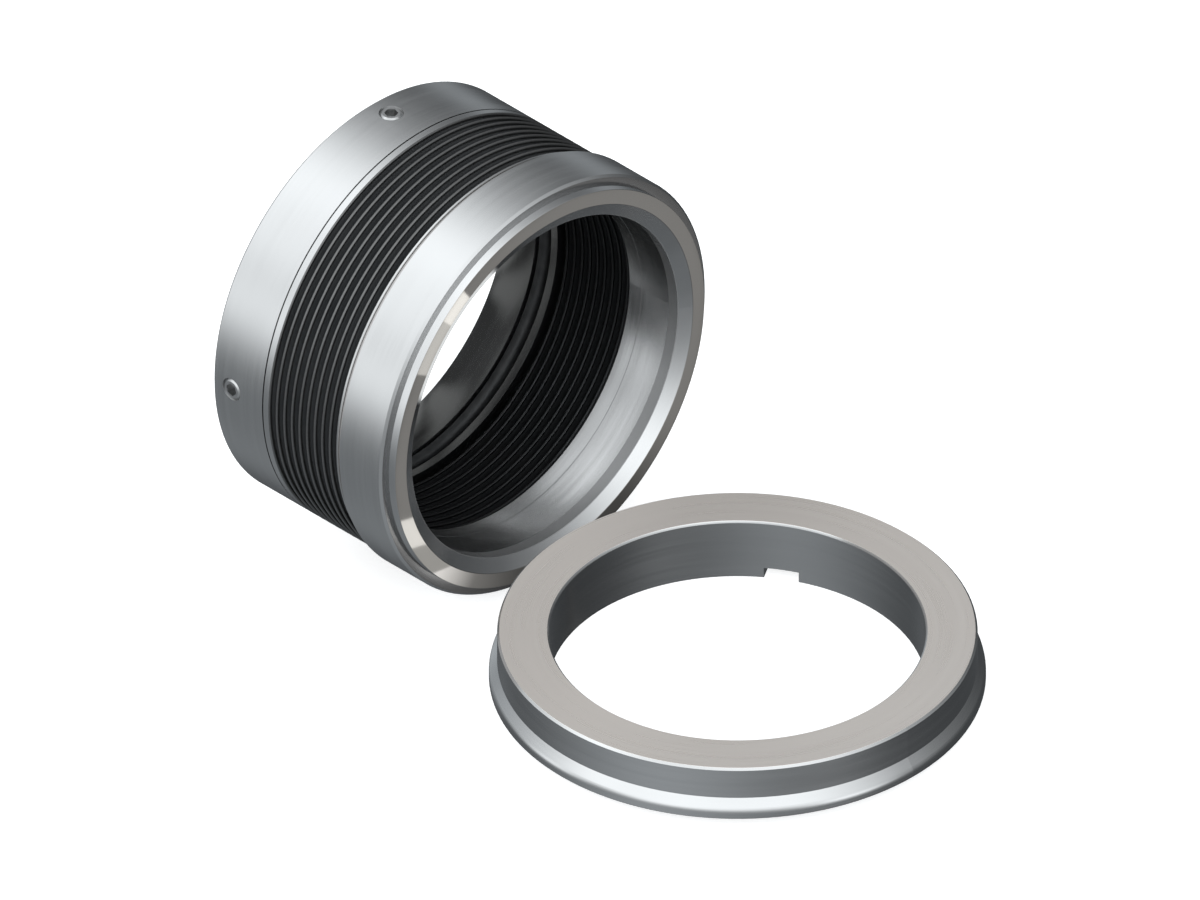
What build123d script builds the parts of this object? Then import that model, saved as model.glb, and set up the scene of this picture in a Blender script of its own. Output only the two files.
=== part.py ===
from build123d import *
from math import atan2, cos, radians, sin, tan
import os

# ---------------------------------------------------------------------------
# Welded metal bellows seal for a 60 mm shaft: a rotating head that is clamped
# to the shaft, and the stationary seat it runs against.
#
# Frame, in millimetres: the shaft axis of the rotating head is X. X = 0 is the
# drive end of the collar and +X points to the running face. The seat lies flat
# in front of the head, its own axis along Z, on the same plane as the head.
# ---------------------------------------------------------------------------

# shaft and collar
shaft_d = 60.0
shaft_clearance = 0.03                      # radial
bore_r = shaft_d / 2 + shaft_clearance
collar_r = 36.25
collar_end_x = 11.39                        # joint with the bellows end ring
collar_chamfer = 0.5                        # drive end, outside
edge_break = 0.2

# O-ring chamber in the collar, closed by the end ring's spigot
chamber_x = 7.14
chamber_r = 32.55
o_ring_x = 8.43
o_ring_half_width = 1.13                    # squeezed section, along X
o_ring_half_height = 1.24                   # squeezed section, radial

# set screws, M4 with 2 mm hexagon socket
screw_x = 4.35
screw_d = 4.0
screw_hole_r = 2.02
screw_count = 4
screw_top_r = 36.27
screw_length = 5.5
screw_end_chamfer = 0.5
socket_across_flats = 2.0
socket_depth = 2.0
cup_r = 1.05
cup_depth = 0.75

# rear end ring of the bellows
ring_spigot_x = 10.66
ring_spigot_r = 32.52
ring_face_x = 12.05
joint_gap_x0 = 11.30                        # narrow groove round the joint
joint_gap_x1 = 11.56
joint_gap_r = 35.35
lip_inner_r = 35.60

# bellows
weld_plane_x = 12.71                        # first outside weld
convolutions = 9
pitch = 1.7167
leaf_inner_r = 30.50
leaf_outer_r = 36.25
leaf_t = 0.18
bead = 0.27                                 # half width of a weld bead
ripple = 0.17
half_pitch = pitch / 2
weld_end_x = weld_plane_x + convolutions * pitch

# face holder
holder_lip_end_x = 28.60
holder_recess_x = 28.42
holder_r = 37.0
holder_taper_end_x = 29.60
holder_front_x = 38.92
holder_bore_r = 30.05
holder_relief_r = 30.16
holder_relief_x = 31.1
holder_chamfer = 0.41

# rotating face
face_back_x = 37.14
face_front_x = 40.35
face_r = 35.10
face_bore_r = 30.16
face_inner_r = 32.54                        # inside edge of the lapped band
face_cone_x = 39.17
shrink_gap = 0.01

# stationary seat
floor_z = -holder_r
seat_x = 82.90
seat_height = 10.86
seat_bore_r = 30.25
seat_hub_r = 35.0
seat_flange_r = 39.90
seat_flange_bottom = 1.90
seat_flange_top = 3.42
seat_wall_bottom = 5.20
seat_wall_r = 38.57
seat_rim_radius = 1.6                       # rounding between shoulder and flange
seat_outer_chamfer = 0.36
seat_inner_chamfer = 0.30
seat_slot_width = 5.75
seat_slot_height = 1.93
seat_slot_angle = 121.5                     # about the seat's axis, from +X

os.makedirs("parts", exist_ok=True)

head_axis = Axis.X
screw_angles = [90 + 360 / screw_count * i for i in range(screw_count)]


def radial_plane(angle, radius, x):
    """Plane square to the radius at this angle about X, local x along +X."""
    out = (0, cos(radians(angle)), sin(radians(angle)))
    return Plane(
        origin=(x, radius * out[1], radius * out[2]), x_dir=(1, 0, 0), z_dir=out
    )


# --------------------------------------------------------------- drive collar
with BuildPart() as drive_collar:
    with BuildSketch(Plane.XY):
        with BuildLine():
            Polyline(
                (edge_break, bore_r),
                (chamber_x, bore_r),
                (chamber_x, chamber_r),
                (collar_end_x, chamber_r),
                (collar_end_x, joint_gap_r),
                (joint_gap_x0, joint_gap_r),
                (joint_gap_x0, collar_r),
                (collar_chamfer, collar_r),
                (0, collar_r - collar_chamfer),
                (0, bore_r + edge_break),
                close=True,
            )
        make_face()
    revolve(axis=head_axis)
    # tapped holes for the set screws
    with Locations(*[radial_plane(a, collar_r + 1, screw_x) for a in screw_angles]):
        Hole(radius=screw_hole_r, depth=collar_r - bore_r + 2.5)
drive_collar.part.label = "drive_collar"
export_step(drive_collar.part, "parts/drive_collar.step")

# ----------------------------------------------------------------- set screws
# one cup point grub screw, standing on +Z
with BuildPart() as screw:
    with BuildSketch(Plane.XZ):
        with BuildLine():
            tip_r = screw_top_r - screw_length
            Polyline(
                (screw_x, tip_r + cup_depth),
                (screw_x + cup_r, tip_r),
                (screw_x + screw_d / 2 - 0.45, tip_r),
                (screw_x + screw_d / 2, tip_r + 0.45),
                (screw_x + screw_d / 2, screw_top_r - screw_end_chamfer),
                (screw_x + screw_d / 2 - screw_end_chamfer, screw_top_r),
                (screw_x, screw_top_r),
                close=True,
            )
        make_face()
    revolve(axis=Axis((screw_x, 0, 0), (0, 0, 1)))
    with BuildSketch(Plane(origin=(screw_x, 0, screw_top_r), x_dir=(1, 0, 0), z_dir=(0, 0, 1))):
        RegularPolygon(
            radius=socket_across_flats / 2, side_count=6, major_radius=False, rotation=45
        )
    extrude(amount=-socket_depth, mode=Mode.SUBTRACT)

with BuildPart() as set_screws:
    for a in screw_angles:
        add(screw.part.rotate(Axis.X, a - 90))
set_screws.part.label = "set_screws"
export_step(set_screws.part, "parts/set_screws.step")

# --------------------------------------------------------------- shaft O-ring
# drawn squeezed to the shaft, so its section is an oval
with BuildPart() as shaft_o_ring:
    with BuildSketch(Plane.XY):
        with Locations((o_ring_x, bore_r + o_ring_half_height + 0.01)):
            Ellipse(o_ring_half_width, o_ring_half_height)
    revolve(axis=head_axis)
shaft_o_ring.part.label = "shaft_o_ring"
export_step(shaft_o_ring.part, "parts/shaft_o_ring.step")

# ---------------------------------------------------------- bellows end ring
with BuildPart() as bellows_end_ring:
    with BuildSketch(Plane.XY):
        with BuildLine():
            Polyline(
                (ring_spigot_x, bore_r),
                (ring_face_x, bore_r),
                (ring_face_x, lip_inner_r),
                (weld_plane_x, lip_inner_r),
                (weld_plane_x, collar_r),
                (joint_gap_x1, collar_r),
                (joint_gap_x1, joint_gap_r),
                (collar_end_x, joint_gap_r),
                (collar_end_x, ring_spigot_r),
                (ring_spigot_x, ring_spigot_r),
                close=True,
            )
        make_face()
    revolve(axis=head_axis)
bellows_end_ring.part.label = "bellows_end_ring"
export_step(bellows_end_ring.part, "parts/bellows_end_ring.step")

# ------------------------------------------------------------- bellows leaves
# Each leaf is a thin rippled diaphragm with half a weld bead on both edges.
# Neighbours meet on the weld planes, at the outside and at the inside in turn,
# and all leaves share one ripple, so that they nest when the bellows shortens.
sheet_outer_r = leaf_outer_r - 2 * bead
sheet_inner_r = leaf_inner_r + 2 * bead
steps = 12


def back_face(start_x, outer_first):
    """Points of a leaf's rear surface, from its inside edge outwards."""
    points = []
    for i in range(steps + 1):
        u = i / steps
        rise = 1 - u if outer_first else u
        x = (
            start_x
            + (half_pitch - leaf_t) * rise
            + ripple * sin(2 * 3.14159265 * u) * sin(3.14159265 * u) ** 0.5
        )
        points.append((x, sheet_inner_r + (sheet_outer_r - sheet_inner_r) * u))
    return points


for n in range(2 * convolutions):
    a_x = weld_plane_x + n * half_pitch
    b_x = a_x + half_pitch
    outer_first = n % 2 == 0
    # plane of the weld at the inside edge and at the outside edge
    inner_x, outer_x = (b_x, a_x) if outer_first else (a_x, b_x)
    rear = back_face(a_x, outer_first)
    front = [(x + leaf_t, r) for x, r in rear]
    side_in = -1 if outer_first else 1
    side_out = -side_in
    # on the weld planes the sheet's free surface turns into the bead
    free_in, on_plane_in = (rear, front) if outer_first else (front, rear)
    free_out, on_plane_out = (front, rear) if outer_first else (rear, front)
    with BuildPart() as leaf:
        with BuildSketch(Plane.XY):
            with BuildLine():
                Spline(*rear)
                Spline(*front)
                # bead on the inside edge
                Line(on_plane_in[0], (inner_x, leaf_inner_r))
                ThreePointArc(
                    (inner_x, leaf_inner_r),
                    (inner_x + side_in * bead, leaf_inner_r + bead),
                    free_in[0],
                )
                # bead on the outside edge
                Line(on_plane_out[-1], (outer_x, leaf_outer_r))
                ThreePointArc(
                    (outer_x, leaf_outer_r),
                    (outer_x + side_out * bead, leaf_outer_r - bead),
                    free_out[-1],
                )
            make_face()
        revolve(axis=head_axis)
    name = f"bellows_leaf_{n + 1:02d}"
    leaf.part.label = name
    export_step(leaf.part, f"parts/{name}.step")

# ---------------------------------------------------------------- face holder
with BuildPart() as face_holder:
    with BuildSketch(Plane.XY):
        with BuildLine():
            Polyline(
                (holder_recess_x, holder_bore_r),
                (holder_relief_x, holder_bore_r),
                (holder_relief_x, holder_relief_r),
                (face_back_x, holder_relief_r),
                (face_back_x, face_r + shrink_gap),
                (holder_front_x, face_r + shrink_gap),
                (holder_front_x, holder_r - holder_chamfer),
                (holder_front_x - holder_chamfer, holder_r),
                (holder_taper_end_x, holder_r),
                (holder_lip_end_x, leaf_outer_r),
                (weld_end_x, leaf_outer_r),
                (weld_end_x, lip_inner_r),
                (holder_recess_x, lip_inner_r),
                close=True,
            )
        make_face()
    revolve(axis=head_axis)
face_holder.part.label = "face_holder"
export_step(face_holder.part, "parts/face_holder.step")

# -------------------------------------------------------------- rotating face
with BuildPart() as rotating_face:
    with BuildSketch(Plane.XY):
        with BuildLine():
            Polyline(
                (face_back_x + 0.01, face_bore_r),
                (face_cone_x, face_bore_r),
                (face_front_x, face_inner_r),
                (face_front_x, face_r - 0.06),
                (face_front_x - 0.06, face_r),
                (face_back_x + 0.01, face_r),
                close=True,
            )
        make_face()
    revolve(axis=head_axis)
rotating_face.part.label = "rotating_face"
export_step(rotating_face.part, "parts/rotating_face.step")

# ------------------------------------------------------------ stationary seat
seat_axis = Axis((seat_x, 0, 0), (0, 0, 1))
# the shoulder leans this far from the vertical; the rim is rounded between it
# and the flange's edge
shoulder_lean = atan2(seat_flange_r - seat_wall_r, seat_wall_bottom - seat_flange_top)
rim_tangent = seat_rim_radius * tan(shoulder_lean / 2)
rim_start = (seat_x + seat_flange_r, floor_z + seat_flange_top - rim_tangent)
rim_middle = (
    rim_start[0] - seat_rim_radius * (1 - cos(shoulder_lean / 2)),
    rim_start[1] + seat_rim_radius * sin(shoulder_lean / 2),
)
rim_end = (
    rim_start[0] - seat_rim_radius * (1 - cos(shoulder_lean)),
    rim_start[1] + seat_rim_radius * sin(shoulder_lean),
)
with BuildPart() as stationary_seat:
    with BuildSketch(Plane.XZ):
        with BuildLine():
            ThreePointArc(rim_start, rim_middle, rim_end)
            Polyline(
                rim_end,
                (seat_x + seat_wall_r, floor_z + seat_wall_bottom),
                (seat_x + seat_wall_r, floor_z + seat_height - seat_outer_chamfer),
                (seat_x + seat_wall_r - seat_outer_chamfer, floor_z + seat_height),
                (seat_x + seat_bore_r + seat_inner_chamfer, floor_z + seat_height),
                (seat_x + seat_bore_r, floor_z + seat_height - seat_inner_chamfer),
                (seat_x + seat_bore_r, floor_z + 0.15),
                (seat_x + seat_bore_r + 0.15, floor_z),
                (seat_x + seat_hub_r - edge_break, floor_z),
                (seat_x + seat_hub_r, floor_z + edge_break),
                (seat_x + seat_hub_r, floor_z + seat_flange_bottom),
                (seat_x + seat_flange_r - 0.15, floor_z + seat_flange_bottom),
                (seat_x + seat_flange_r, floor_z + seat_flange_bottom + 0.15),
                rim_start,
            )
        make_face()
    revolve(axis=seat_axis)
    # slot for the anti-rotation pin, through the hub from below
    with BuildSketch(Plane.XY.offset(floor_z)):
        with Locations(Location((seat_x, 0), seat_slot_angle)):
            with Locations(((seat_bore_r + seat_hub_r) / 2, 0)):
                Rectangle(seat_hub_r - seat_bore_r + 3, seat_slot_width)
    extrude(amount=seat_slot_height, mode=Mode.SUBTRACT)
stationary_seat.part.label = "stationary_seat"
export_step(stationary_seat.part, "parts/stationary_seat.step")

for piece in (
    drive_collar,
    set_screws,
    shaft_o_ring,
    bellows_end_ring,
    face_holder,
    rotating_face,
    stationary_seat,
):
    print(piece.part.label, len(piece.part.solids()), round(piece.part.volume, 1))
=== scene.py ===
from math import cos, pi, radians, sin, sqrt

import bpy
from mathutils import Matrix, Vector


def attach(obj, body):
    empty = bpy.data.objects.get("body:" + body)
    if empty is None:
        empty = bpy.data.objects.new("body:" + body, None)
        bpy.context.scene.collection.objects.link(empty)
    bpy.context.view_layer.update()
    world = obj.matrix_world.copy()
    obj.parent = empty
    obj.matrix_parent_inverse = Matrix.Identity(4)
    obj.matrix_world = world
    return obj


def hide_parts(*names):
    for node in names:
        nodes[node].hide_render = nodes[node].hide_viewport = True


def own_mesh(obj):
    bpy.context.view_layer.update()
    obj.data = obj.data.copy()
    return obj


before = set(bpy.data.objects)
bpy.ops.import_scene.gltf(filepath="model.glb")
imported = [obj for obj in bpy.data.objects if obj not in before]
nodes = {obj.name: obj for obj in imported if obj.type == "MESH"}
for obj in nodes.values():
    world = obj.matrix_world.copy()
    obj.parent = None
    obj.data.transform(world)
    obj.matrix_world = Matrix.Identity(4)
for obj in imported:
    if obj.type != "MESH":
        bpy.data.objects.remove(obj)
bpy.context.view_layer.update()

scene = bpy.context.scene
MM = 0.001

# ---------------------------------------------------------------------------
# Camera: straight isometric view, as the photograph's
# ---------------------------------------------------------------------------
camera = bpy.data.objects.new("camera", bpy.data.cameras.new("camera"))
scene.collection.objects.link(camera)
camera.data.type = "ORTHO"
camera.data.ortho_scale = 0.19251
back = Vector((1, -1, 1)).normalized()
camera.rotation_mode = "QUATERNION"
camera.rotation_quaternion = (-back).to_track_quat("-Z", "Y")
camera.location = Vector((0.05802, -0.0063, 0)) + back * 0.6
camera.data.clip_start, camera.data.clip_end = 0.01, 20
scene.camera = camera
scene.view_settings.view_transform = "Standard"


# ---------------------------------------------------------------------------
# Node helpers
# ---------------------------------------------------------------------------
class Tree:
    """A node tree, with short calls that return the output socket."""

    def __init__(self, tree):
        self.tree = tree
        tree.nodes.clear()

    def put(self, socket, value):
        if value is None:
            return
        if isinstance(value, bpy.types.NodeSocket):
            self.tree.links.new(value, socket)
        else:
            socket.default_value = value

    def node(self, kind, inputs=None, **settings):
        n = self.tree.nodes.new(kind)
        for key, value in settings.items():
            setattr(n, key, value)
        for key, value in (inputs or {}).items():
            self.put(n.inputs[key], value)
        return n

    def math(self, op, a, b=None, c=None, clamp=False):
        n = self.node("ShaderNodeMath", operation=op, use_clamp=clamp)
        for i, v in enumerate((a, b, c)):
            self.put(n.inputs[i], v)
        return n.outputs[0]

    def vec(self, op, a, b=None, scale=None):
        n = self.node("ShaderNodeVectorMath", operation=op)
        self.put(n.inputs[0], a)
        if b is not None:
            self.put(n.inputs[1], b)
        if scale is not None:
            self.put(n.inputs["Scale"], scale)
        return n.outputs["Value" if op in ("DOT_PRODUCT", "LENGTH") else "Vector"]

    def xyz(self, x, y, z):
        return self.node("ShaderNodeCombineXYZ", {"X": x, "Y": y, "Z": z}).outputs[0]

    def noise(self, vector, scale=1.0, detail=2.0, rough=0.5):
        n = self.node(
            "ShaderNodeTexNoise",
            {"Vector": vector, "Scale": scale, "Detail": detail, "Roughness": rough},
        )
        return n.outputs["Fac"]

    def remap(self, value, a, b, c, d, smooth=False):
        n = self.node(
            "ShaderNodeMapRange",
            {"Value": value, "From Min": a, "From Max": b, "To Min": c, "To Max": d},
            interpolation_type="SMOOTHSTEP" if smooth else "LINEAR",
        )
        return n.outputs["Result"]

    def mix(self, factor, a, b):
        n = self.node("ShaderNodeMix", data_type="RGBA")
        self.put(n.inputs["Factor"], factor)
        self.put(n.inputs[6], a)
        self.put(n.inputs[7], b)
        return n.outputs[2]

    def turned(self, axis, centre=(0, 0, 0)):
        """Lathe coordinates in millimetres from the piece's own coordinates:
        distance along the axis, radius, and the unit direction from the axis."""
        here = self.node("ShaderNodeTexCoord").outputs["Object"]
        here = self.vec("SUBTRACT", here, tuple(c * MM for c in centre))
        here = self.vec("SCALE", here, scale=1000.0)
        split = self.node("ShaderNodeSeparateXYZ", {"Vector": here})
        x, y, z = split.outputs
        if axis == "X":
            along, p, q = x, y, z
        else:
            along, p, q = z, x, y
        r = self.math("SQRT", self.math("ADD", self.math("MULTIPLY", p, p), self.math("MULTIPLY", q, q)))
        return along, r, self.math("DIVIDE", p, r), self.math("DIVIDE", q, r), here


def grey(value, warm=0.0):
    return (value * (1 + warm), value, value * (1 - warm), 1)


def principled(t, **inputs):
    shader = t.node("ShaderNodeBsdfPrincipled", inputs)
    t.node("ShaderNodeOutputMaterial", {"Surface": shader.outputs[0]})
    return shader


def material(name):
    m = bpy.data.materials.new(name)
    m.use_nodes = True
    return m, Tree(m.node_tree)


# ---------------------------------------------------------------------------
# Turned steel: fine concentric tool marks with slow drifts in finish
# ---------------------------------------------------------------------------
def turned_steel(name, axis, centre=(0, 0, 0), base=0.62, rough=0.21, spread=0.04,
                 marks=1.0, seed=0.0, face_from=None, face=(0.4, 0.4, 0.4), face_rough=0.24,
                 bore_r=None, bore_shade=0.5, bore_metal=1.0):
    """face_from: distance along the axis from which the steel has its face finish.
    bore_r: radius below which the colour is painted darker, as painted shade inside the hole; bore_metal sets its metal
    there."""
    m, t = material(name)
    along, r, p, q, here = t.turned(axis, centre)
    # one coordinate that runs across the tool marks on barrels, faces and cones
    across = t.math("ADD", along, r)
    fine = t.noise(t.xyz(t.math("MULTIPLY", across, 7.0),
                         t.math("MULTIPLY_ADD", p, 1.6, seed), t.math("MULTIPLY", q, 1.6)), detail=3.0, rough=0.6)
    broad = t.noise(t.xyz(t.math("MULTIPLY", across, 0.9),
                          t.math("MULTIPLY_ADD", p, 1.1, seed + 7.0), t.math("MULTIPLY", q, 1.1)), detail=2.0)
    cloud = t.noise(here, scale=0.055, detail=3.0, rough=0.55)
    tone = t.math("ADD", t.math("MULTIPLY", broad, 0.45), t.math("MULTIPLY", fine, 0.35))
    tone = t.remap(t.math("MULTIPLY_ADD", cloud, 0.2, tone), 0.3, 0.7, 0.0, 1.0)
    colour = t.mix(tone, grey(base - 0.03), grey(base + 0.03))
    roughness = t.math("ADD", t.remap(broad, 0.3, 0.7, rough - spread, rough + spread),
                       t.remap(fine, 0.3, 0.7, -0.02, 0.02))
    metal = 1.0
    # below bore_r the steel is painted darker: painted shade inside the hole
    if bore_r is not None:
        inside = t.remap(r, bore_r - 0.05, bore_r + 0.05, 1.0, 0.0)
        colour = t.mix(inside, colour, t.mix(tone, grey(bore_shade - 0.02), grey(bore_shade + 0.02)))
        metal = t.remap(inside, 0, 1, 1.0, bore_metal)
    if face_from is not None:
        on_face = t.math("GREATER_THAN", along, face_from)
        low = tuple(c * 0.985 for c in face) + (1,)
        high = tuple(min(c * 1.015, 1) for c in face) + (1,)
        colour = t.mix(on_face, colour, t.mix(tone, low, high))
        roughness = t.math("MULTIPLY_ADD", on_face, face_rough - rough, roughness)
    height = t.math("MULTIPLY_ADD", broad, 0.8, fine)
    bump = t.node("ShaderNodeBump", {"Strength": 1.0, "Distance": 1e-6 * marks, "Height": height})
    principled(t, **{"Base Color": colour, "Metallic": metal, "Roughness": roughness,
                     "Normal": bump.outputs[0]})
    return m


# ---------------------------------------------------------------------------
# Lapped running face: hard, dense and nearly a mirror, in its steel holder
# ---------------------------------------------------------------------------
def lapped(name, centre=(0, 0, 0)):
    m, t = material(name)
    along, r, p, q, here = t.turned("X", centre)
    grain = t.noise(here, scale=9.0, detail=3.0, rough=0.6)
    cloud = t.noise(here, scale=0.12, detail=2.0)
    speck = t.remap(t.math("MULTIPLY_ADD", grain, 0.5, t.math("MULTIPLY", cloud, 0.5)), 0.35, 0.65, 0, 1)
    # the front band is lapped, the cone and bore inside it are only ground
    ground = t.remap(along, 40.28, 40.34, 1.0, 0.0)
    # the outside keeps the grey of the blank; inside the hole behind the cone it is painted darker and half as
    # metallic, as painted shade deep in the head
    cone = t.remap(along, 39.1, 39.25, 0, 1)
    bore_shade = t.math("MULTIPLY", t.remap(r, 31.5, 32.0, 1.0, 0.0), t.math("SUBTRACT", 1.0, cone))
    colour = t.mix(ground, t.mix(speck, (0.385, 0.374, 0.356, 1), (0.415, 0.402, 0.382, 1)),
                   t.mix(speck, grey(0.62), grey(0.68)))
    colour = t.mix(bore_shade, colour, t.mix(speck, grey(0.275), grey(0.31)))
    metal = t.remap(bore_shade, 0, 1, 1.0, 0.5)
    roughness = t.math("MULTIPLY_ADD", ground, 0.13, t.remap(cloud, 0.3, 0.7, 0.06, 0.1))
    bump = t.node("ShaderNodeBump", {"Strength": 1.0, "Distance": 4e-7, "Height": grain})
    principled(t, **{"Base Color": colour, "Metallic": metal, "Roughness": roughness,
                     "Normal": bump.outputs[0]})
    return m


# ---------------------------------------------------------------------------
# Bellows alloy: a dark sheet, brighter along the edge welds; the sheet's darkness is partly painted shade of its narrow
# folds
# ---------------------------------------------------------------------------
def leaf_alloy(name):
    m, t = material(name)
    along, r, p, q, here = t.turned("X")
    speck = t.noise(here, scale=3.2, detail=4.0, rough=0.65)
    cloud = t.noise(t.xyz(t.math("MULTIPLY", along, 0.25), t.math("MULTIPLY", p, 3.0), t.math("MULTIPLY", q, 3.0)),
                    detail=2.0)
    # solidified ripples of the weld, close together around the edge
    turn = t.math("ARCTAN2", q, p)
    ripples = t.math("SINE", t.math("MULTIPLY_ADD", speck, 3.0, t.math("MULTIPLY", turn, 720.0)))
    weld = t.math("MAXIMUM", t.remap(r, 35.42, 35.66, 0, 1), t.remap(r, 31.15, 30.95, 0, 1))
    # painted shade: the alloy is painted nearly black inwards, where the deep folds lie in shadow (tint is the amount
    # of it)
    tint = t.remap(r, 34.4, 32.6, 0, 1, smooth=True)
    sheet = t.mix(t.remap(cloud, 0.3, 0.7, 0, 1), grey(0.125, -0.05), grey(0.165, -0.03))
    sheet = t.mix(tint, sheet, grey(0.026, -0.05))
    bead = t.mix(t.remap(speck, 0.3, 0.7, 0, 1), grey(0.145), grey(0.19, 0.01))
    bead = t.mix(tint, bead, grey(0.032, -0.03))
    colour = t.mix(weld, sheet, bead)
    metal = t.remap(weld, 0, 1, 0.3, 0.95)
    roughness = t.math("ADD", t.remap(weld, 0, 1, 0.46, 0.34), t.remap(speck, 0.3, 0.7, -0.05, 0.05))
    height = t.math("MULTIPLY_ADD", t.math("MULTIPLY", weld, ripples), 0.4, speck)
    bump = t.node("ShaderNodeBump", {"Strength": 1.0, "Distance": 3e-6, "Height": height})
    principled(t, **{"Base Color": colour, "Metallic": metal, "Roughness": roughness,
                     "Normal": bump.outputs[0]})
    return m


def rubber(name):
    m, t = material(name)
    along, r, p, q, here = t.turned("X")
    grain = t.noise(here, scale=6.0, detail=4.0, rough=0.6)
    cloud = t.noise(here, scale=0.5, detail=2.0)
    colour = t.mix(t.remap(cloud, 0.3, 0.7, 0, 1), (0.018, 0.019, 0.02, 1), (0.032, 0.033, 0.034, 1))
    bump = t.node("ShaderNodeBump", {"Strength": 1.0, "Distance": 4e-6, "Height": grain})
    principled(t, **{"Base Color": colour, "Roughness": t.remap(grain, 0.3, 0.7, 0.36, 0.52),
                     "Normal": bump.outputs[0]})
    return m


def screw_steel(name):
    m, t = material(name)
    here = t.vec("SCALE", t.node("ShaderNodeTexCoord").outputs["Object"], scale=1000.0)
    grain = t.noise(here, scale=5.0, detail=4.0, rough=0.6)
    cloud = t.noise(here, scale=0.9, detail=2.0)
    colour = t.mix(t.remap(cloud, 0.3, 0.7, 0, 1), grey(0.52), grey(0.60))
    bump = t.node("ShaderNodeBump", {"Strength": 1.0, "Distance": 3e-6, "Height": grain})
    principled(t, **{"Base Color": colour, "Metallic": 1.0, "Roughness": t.remap(grain, 0.3, 0.7, 0.26, 0.36),
                     "Normal": bump.outputs[0]})
    return m


finishes = {
    "drive_collar": turned_steel("collar_steel", "X", seed=0.0),
    # the end ring, holder and seat are painted darker inside their holes: painted shade
    "bellows_end_ring": turned_steel("end_ring_steel", "X", seed=11.0, bore_r=32.0, bore_shade=0.5, bore_metal=1.0),
    "face_holder": turned_steel("holder_steel", "X", seed=23.0, face_from=38.90,
                                marks=0.3, bore_r=30.6, bore_shade=0.51, bore_metal=0.94),
    "stationary_seat": turned_steel("seat_steel", "Z", centre=(82.90, 0, 0), seed=31.0,
                                    face_from=-26.16, face=(0.955, 0.91, 0.865), face_rough=0.3,
                                    marks=0.2, bore_r=30.4, bore_shade=0.46),
    "rotating_face": lapped("lapped_face"),
    "shaft_o_ring": rubber("seal_rubber"),
    "set_screws": screw_steel("screw_steel"),
}
for name, finish in finishes.items():
    piece = nodes[name]
    piece.data.materials.clear()
    piece.data.materials.append(finish)

# ---------------------------------------------------------------------------
# Bellows: eighteen rippled leaves, welded at the inside and outside edges in
# turn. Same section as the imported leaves, with a finer ripple and round beads.
# ---------------------------------------------------------------------------
WELD_X, CONVOLUTIONS, PITCH = 12.71, 9, 1.7167
INNER_R, OUTER_R, LEAF_T, BEAD, RIPPLE = 30.50, 36.25, 0.18, 0.27, 0.17
HALF = PITCH / 2
SHEET_IN, SHEET_OUT = INNER_R + 2 * BEAD, OUTER_R - 2 * BEAD
SEGMENTS, STEPS = 192, 16


def arc(start, middle, end, count):
    """Points on the circle through three points, without the two ends."""
    (ax, ay), (bx, by), (cx, cy) = start, middle, end
    d = 2 * (ax * (by - cy) + bx * (cy - ay) + cx * (ay - by))
    ux = ((ax * ax + ay * ay) * (by - cy) + (bx * bx + by * by) * (cy - ay) + (cx * cx + cy * cy) * (ay - by)) / d
    uy = ((ax * ax + ay * ay) * (cx - bx) + (bx * bx + by * by) * (ax - cx) + (cx * cx + cy * cy) * (bx - ax)) / d
    from math import atan2
    a0, am, a1 = (atan2(y - uy, x - ux) for x, y in (start, middle, end))
    rad = sqrt((ax - ux) ** 2 + (ay - uy) ** 2)
    if am < a0:
        am += 2 * pi
    if a1 < a0:
        a1 += 2 * pi
    if am > a1:  # the arc runs the other way
        a1 -= 2 * pi
    return [(ux + rad * cos(a0 + (a1 - a0) * i / count), uy + rad * sin(a0 + (a1 - a0) * i / count))
            for i in range(1, count)]


def leaf_profile(n):
    """Closed section of leaf n as (x, radius) in millimetres."""
    a_x = WELD_X + n * HALF
    b_x = a_x + HALF
    outer_first = n % 2 == 0
    inner_x, outer_x = (b_x, a_x) if outer_first else (a_x, b_x)
    rear = []
    for i in range(STEPS + 1):
        u = i / STEPS
        rise = 1 - u if outer_first else u
        x = a_x + (HALF - LEAF_T) * rise + RIPPLE * sin(2 * pi * u) * max(sin(pi * u), 0) ** 0.5
        rear.append((x, SHEET_IN + (SHEET_OUT - SHEET_IN) * u))
    front = [(x + LEAF_T, r) for x, r in rear]
    side_in = -1 if outer_first else 1
    free_in = rear[0] if outer_first else front[0]
    free_out = front[-1] if outer_first else rear[-1]
    inner_bead = [(inner_x, INNER_R)] + arc(
        (inner_x, INNER_R), (inner_x + side_in * BEAD, INNER_R + BEAD), free_in, 8)
    outer_bead = [(outer_x, OUTER_R)] + arc(
        (outer_x, OUTER_R), (outer_x - side_in * BEAD, OUTER_R - BEAD), free_out, 8)
    if outer_first:
        # up the rear sheet, over the outside weld, down the front, round the inside bead
        return rear + outer_bead + front[::-1] + inner_bead
    return rear + outer_bead[::-1] + front[::-1] + inner_bead[::-1]


def lathe_x(name, profile, segments=SEGMENTS):
    """Solid of revolution about X from a closed (x, radius) section."""
    verts, faces = [], []
    count = len(profile)
    for s in range(segments):
        a = 2 * pi * s / segments
        for x, r in profile:
            verts.append((x * MM, r * cos(a) * MM, r * sin(a) * MM))
    for s in range(segments):
        o, p = s * count, (s + 1) % segments * count
        for i in range(count):
            j = (i + 1) % count
            faces.append((o + i, o + j, p + j, p + i))
    mesh = bpy.data.meshes.new(name)
    mesh.from_pydata(verts, [], faces)
    area = sum(profile[i][0] * profile[(i + 1) % count][1] - profile[(i + 1) % count][0] * profile[i][1]
               for i in range(count))
    if area > 0:
        mesh.flip_normals()
    mesh.validate()
    mesh.shade_smooth()
    mesh.set_sharp_from_angle(angle=radians(38))
    obj = bpy.data.objects.new(name, mesh)
    scene.collection.objects.link(obj)
    return obj


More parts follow.
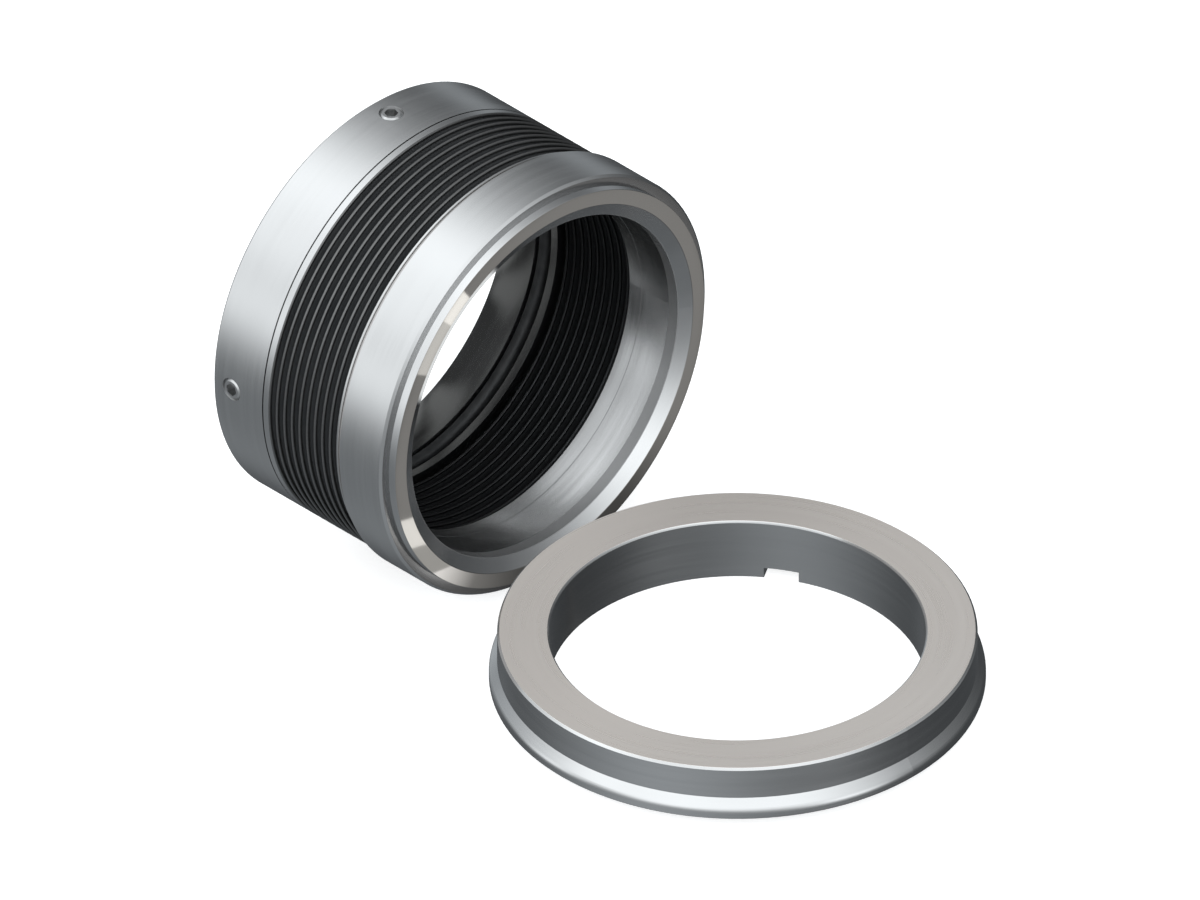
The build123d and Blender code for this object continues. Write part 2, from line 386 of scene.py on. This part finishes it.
alloy = leaf_alloy("leaf_alloy")
for n in range(2 * CONVOLUTIONS):
    leaf = lathe_x(f"leaf_{n + 1:02d}", leaf_profile(n))
    leaf.data.materials.append(alloy)
    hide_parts(f"bellows_leaf_{n + 1:02d}")
    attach(leaf, "drive_end")
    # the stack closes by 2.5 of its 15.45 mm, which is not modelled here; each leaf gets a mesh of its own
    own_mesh(leaf)

# ---------------------------------------------------------------------------
# Studio: soft boxes all round as a plain light tent, and a pale floor
# ---------------------------------------------------------------------------
COOL, COOLER = (0.965, 1.00, 1.02), (0.93, 1.00, 1.05)
# (compass angle from +X, height, tightness, brightness, tint)
SOFT_LIGHTS = (
    (-16, 42, 3.8, 1.43, COOL),      # right soft box
    (-161, 54, 6.7, 1.42, COOL),     # top left soft box
    (-80, 26, 7.4, 1.15, COOL),      # front soft box
    (-118, 33, 24, 0.83, COOL),      # front left strip
    (-132, 2, 24, 1.13, COOL),       # left strip
    (4, -3, 21, 1.14, COOL),         # small light facing the bore
    (93, 44, 9.0, 0.43, COOL),       # back soft box
    (127, -1, 50, 0.26, COOLER),     # back left strip
    (-175, 10, 13, 0.36, COOLER),    # left card
    (-84, -52, 4.0, 0.37, COOLER),   # low front card
    (-177, -62, 20, 0.11, COOLER),   # low left card
    (161, -14, 34, 0.44, COOLER),    # back right card
)
BASE_LIGHT = (0.056, 0.060, 0.064)

world = bpy.data.worlds.new("studio")
scene.world = world
world.use_nodes = True
t = Tree(world.node_tree)
towards = t.vec("NORMALIZE", t.node("ShaderNodeTexCoord").outputs["Generated"])
total = None
for turn, height, tight, bright, tint in SOFT_LIGHTS:
    a, e = radians(turn), radians(height)
    aim = (cos(a) * cos(e), sin(a) * cos(e), sin(e))
    glow = t.math("EXPONENT", t.math("MULTIPLY_ADD", t.vec("DOT_PRODUCT", towards, aim), tight, -tight))
    lobe = t.vec("SCALE", tuple(bright * c for c in tint), scale=glow)
    total = lobe if total is None else t.vec("ADD", total, lobe)
total = t.vec("ADD", total, BASE_LIGHT)
tent = t.node("ShaderNodeBackground", {"Color": total, "Strength": 1.0})
paper = t.node("ShaderNodeBackground", {"Color": (1, 1, 1, 1), "Strength": 1.0})
seen = t.node("ShaderNodeLightPath").outputs["Is Camera Ray"]
both = t.node("ShaderNodeMixShader", {0: seen, 1: tent.outputs[0], 2: paper.outputs[0]})
t.node("ShaderNodeOutputWorld", {"Surface": both.outputs[0]})

size = 3.0
floor_mesh = bpy.data.meshes.new("floor")
floor_mesh.from_pydata(
    [(-size, -size, -0.037), (size, -size, -0.037), (size, size, -0.037), (-size, size, -0.037)],
    [], [(0, 1, 2, 3)])
floor = bpy.data.objects.new("floor", floor_mesh)
scene.collection.objects.link(floor)
pale, t = material("floor_paper")
lit = t.node("ShaderNodeBsdfDiffuse", {"Color": (0.8, 0.8, 0.8, 1)})
glow = t.node("ShaderNodeEmission", {"Color": (1, 1, 1, 1), "Strength": 0.72})
t.node("ShaderNodeOutputMaterial",
       {"Surface": t.node("ShaderNodeAddShader", {0: lit.outputs[0], 1: glow.outputs[0]}).outputs[0]})
floor_mesh.materials.append(pale)
floor.visible_glossy = False
floor.visible_diffuse = False
floor.visible_transmission = False
floor.visible_shadow = False



def reflector(name, x, outline, shader):
    """Flat card square to X that only reflections can see. outline: (y, z) in mm,
    counter-clockwise from +X, so that its face side looks along +X."""
    mesh = bpy.data.meshes.new(name)
    mesh.from_pydata([(x * MM, y * MM, z * MM) for y, z in outline], [], [tuple(range(len(outline)))])
    mesh.materials.append(shader)
    card = bpy.data.objects.new(name, mesh)
    scene.collection.objects.link(card)
    card.visible_camera = False
    card.visible_diffuse = False
    card.visible_transmission = False
    card.visible_shadow = False
    return card


def ring(radius, y=0.0, z=0.0, count=64):
    return [(y + radius * cos(2 * pi * i / count), z + radius * sin(2 * pi * i / count)) for i in range(count)]


def card_shader(name, paint, one_sided=None, cover=None):
    """Glowing card. paint(t, here) gives its colour, cover(t, here) how solid it is;
    one_sided "front" or "back" leaves the other side clear."""
    m, t = material(name)
    here = t.vec("SCALE", t.node("ShaderNodeTexCoord").outputs["Object"], scale=1000.0)
    split = t.node("ShaderNodeSeparateXYZ", {"Vector": here}).outputs
    glow = t.node("ShaderNodeEmission", {"Color": paint(t, split[1], split[2]), "Strength": 1.0})
    clear = t.node("ShaderNodeBsdfTransparent")
    solid = 1.0 if cover is None else cover(t, split[1], split[2])
    if one_sided:
        rear = t.node("ShaderNodeNewGeometry").outputs["Backfacing"]
        shown = rear if one_sided == "back" else t.math("SUBTRACT", 1.0, rear)
        solid = t.math("MULTIPLY", shown, solid)
    t.node("ShaderNodeOutputMaterial", {"Surface": t.node("ShaderNodeMixShader", {
        0: solid, 1: clear.outputs[0], 2: glow.outputs[0]}).outputs[0]})
    return m


def distance(t, u, v, u0, v0):
    return t.vec("LENGTH", t.xyz(t.math("SUBTRACT", u, u0), t.math("SUBTRACT", v, v0), 0.0))


# A gray card stands between the two pieces: the seat's top mirrors it. It is
# clear from the head's side, and stands no lower than the seat's top.
def gray_paint(t, y, z):
    value = t.remap(distance(t, y, z, 42, -8), 8, 40, 0.385, 0.45, smooth=True)
    for y0, z0 in ((72, 50), (14, 20)):
        value = t.math("ADD", value, t.remap(distance(t, y, z, y0, z0), 4, 24, 0.075, 0.0, smooth=True))
    return t.xyz(value, value, value)


reflector("gray_card", 40.9, [(-45, -26.1), (135, -26.1), (135, 75), (-45, 75)],
          card_shader("gray_card", gray_paint, one_sided="front"))


# A dark flag behind part of the rear opening keeps the inside of the head deep;
# its soft spots shine along the collar's bore.
def flag_axes(t, y, z):
    a = t.math("MULTIPLY", t.math("SUBTRACT", y, z), sqrt(0.5))
    return a, t.math("MULTIPLY", t.math("ADD", y, z), sqrt(0.5))


def flag_cover(t, y, z):
    a, b = flag_axes(t, y, z)
    middle = t.remap(distance(t, a, b, 11, 0), 18.0, 24.0, 1.0, 0.0, smooth=True)
    wing = t.math("MULTIPLY", t.remap(a, -3, 9, 0.0, 0.85, smooth=True), t.remap(a, 16, 26, 1.0, 0.0, smooth=True))
    wing = t.math("MULTIPLY", wing, t.remap(t.math("ABSOLUTE", b), 31, 35, 1.0, 0.0, smooth=True))
    wing = t.math("MULTIPLY", wing, t.remap(b, -4, 4, 1.0, 0.5, smooth=True))
    return t.math("MAXIMUM", middle, wing)


def flag_paint(t, y, z):
    a, b = flag_axes(t, y, z)
    b = t.math("ABSOLUTE", b)
    value = t.remap(distance(t, a, b, 17.0, 0), 0.9, 2.9, 0.19, 0.008, smooth=True)
    # a streak from (21.4, 4.8) to (25.4, 8.1)
    u = t.math("ADD", t.math("MULTIPLY", t.math("SUBTRACT", a, 21.4), 0.772),
               t.math("MULTIPLY", t.math("SUBTRACT", b, 4.8), 0.635))
    u = t.math("MINIMUM", t.math("MAXIMUM", u, 0.0), 5.18)
    near = t.vec("LENGTH", t.xyz(t.math("SUBTRACT", a, t.math("MULTIPLY_ADD", u, 0.772, 21.4)),
                                 t.math("SUBTRACT", b, t.math("MULTIPLY_ADD", u, 0.635, 4.8)), 0.0))
    value = t.math("ADD", value, t.remap(near, 0.8, 2.8, 0.13, 0.0, smooth=True))
    value = t.math("ADD", value, t.remap(distance(t, a, b, 24.6, 13.2), 1.5, 4.0, 0.16, 0.0, smooth=True))
    return t.xyz(value, t.math("MULTIPLY", value, 1.03), t.math("MULTIPLY", value, 1.02))


reflector("dark_flag", -0.6, ring(42, 5, -5), card_shader("dark_flag", flag_paint, cover=flag_cover))


# A ring-shaped card in front gives the flat running face its tone, darker towards
# the seat, and a dimmer margin of it the end face of the holder.
def face_paint(t, y, z):
    out = distance(t, y, z, 20, -20)
    value = t.remap(distance(t, y, z, 20 + 5.3, -20 - 33.6), 9, 29, 0.13, 0.465, smooth=True)
    value = t.math("MULTIPLY", value, t.remap(out, 35.3, 35.6, 1.0, 0.30))
    return t.xyz(value, value, value)


def face_cover(t, y, z):
    out = distance(t, y, z, 20, -20)
    return t.math("MULTIPLY", t.remap(out, 31.0, 31.4, 0.0, 1.0), t.remap(out, 42, 54, 1.0, 0.0, smooth=True))


reflector("face_card", 60.35, ring(56, 20, -20), card_shader("face_card", face_paint, one_sided="back",
                                                             cover=face_cover))

# A thin hoop over the last weld lights the holder's rear taper.
def hoop_paint(t, y, z):
    turn = t.math("ABSOLUTE", t.math("SUBTRACT", t.math("ARCTAN2", t.math("SUBTRACT", y, z),
                                                        t.math("MULTIPLY", t.math("ADD", y, z), -1.0)), radians(-88)))
    value = t.remap(turn, radians(12), radians(60), 0.80, 0.08)
    return t.xyz(value, value, value)


def hoop_cover(t, y, z):
    return t.remap(distance(t, y, z, 0, 0), 36.30, 36.34, 0.0, 1.0)


reflector("taper_hoop", 28.38, ring(36.93), card_shader("taper_hoop", hoop_paint, one_sided="front",
                                                        cover=hoop_cover))

# Narrow light strips close in front of the running face glint in it. Each is a
# sector of that ring, given by its two ends inside and outside, in degrees.
def strip_paint(bright, fade):
    def paint(t, y, z):
        if fade is None:
            return (bright, bright, bright * 0.985, 1)
        turn = t.math("ARCTAN2", t.math("ADD", z, 10.0), t.math("SUBTRACT", y, 10.0))
        value = t.remap(turn, radians(fade[0] - 405), radians(fade[1] - 405), bright, fade[2])
        return t.xyz(value, value, value)
    return paint


STRIPS = (
    (169.0, 169.0, 178.5, 178.5, 2.2, None),
    (178.5, 178.5, 194.3, 194.3, 1.3, None),
    (242.6, 239.8, 255.8, 251.2, 1.75, None),
    (255.8, 251.2, 272.0, 265.5, 0.745, None),
    (272.0, 265.5, 286.0, 284.0, 1.8, (268.0, 284.0, 0.40)),
)
for number, (start_in, start_out, end_in, end_out, bright, fade) in enumerate(STRIPS):
    edge = []
    for radius, first, last in ((35.3, start_out, end_out), (32.3, end_in, start_in)):
        for i in range(9):
            turn = radians(first + (last - first) * i / 8 - 45)
            edge.append((radius * cos(turn) + 10, radius * sin(turn) - 10))
    reflector(f"glint_{number + 1}", 50.35, edge, card_shader(
        f"glint_{number + 1}", strip_paint(bright, fade), one_sided="back"))

# A small bright card just inside the opening lights the far side of the running
# face's inner cone, which is seen at a grazing angle.
edge = [(-27.5, -13.0, 36.4), (-27.5, -13.0, 40.0), (-27.5, 13.0, 40.0), (-27.5, 13.0, 36.4)]
mesh = bpy.data.meshes.new("cone_card")
mesh.from_pydata([(x * MM, (a + b) * sqrt(0.5) * MM, (b - a) * sqrt(0.5) * MM) for a, b, x in edge], [], [(0, 1, 2, 3)])
mesh.materials.append(card_shader(
    "cone_card", lambda t, y, z: (0.93, 0.95, 0.95, 1), one_sided="front",
    cover=lambda t, y, z: t.remap(t.math("ABSOLUTE", t.math("ADD", y, z)), 15.0, 18.2, 1.0, 0.0, smooth=True)))
card = bpy.data.objects.new("cone_card", mesh)
scene.collection.objects.link(card)
card.visible_camera = False
card.visible_diffuse = False
card.visible_transmission = False
card.visible_shadow = False

# The holder's end face is left out of reflections, so that the outside of the
# running face catches the lights.
nodes["face_holder"].visible_glossy = False
nodes["stationary_seat"].visible_glossy = False
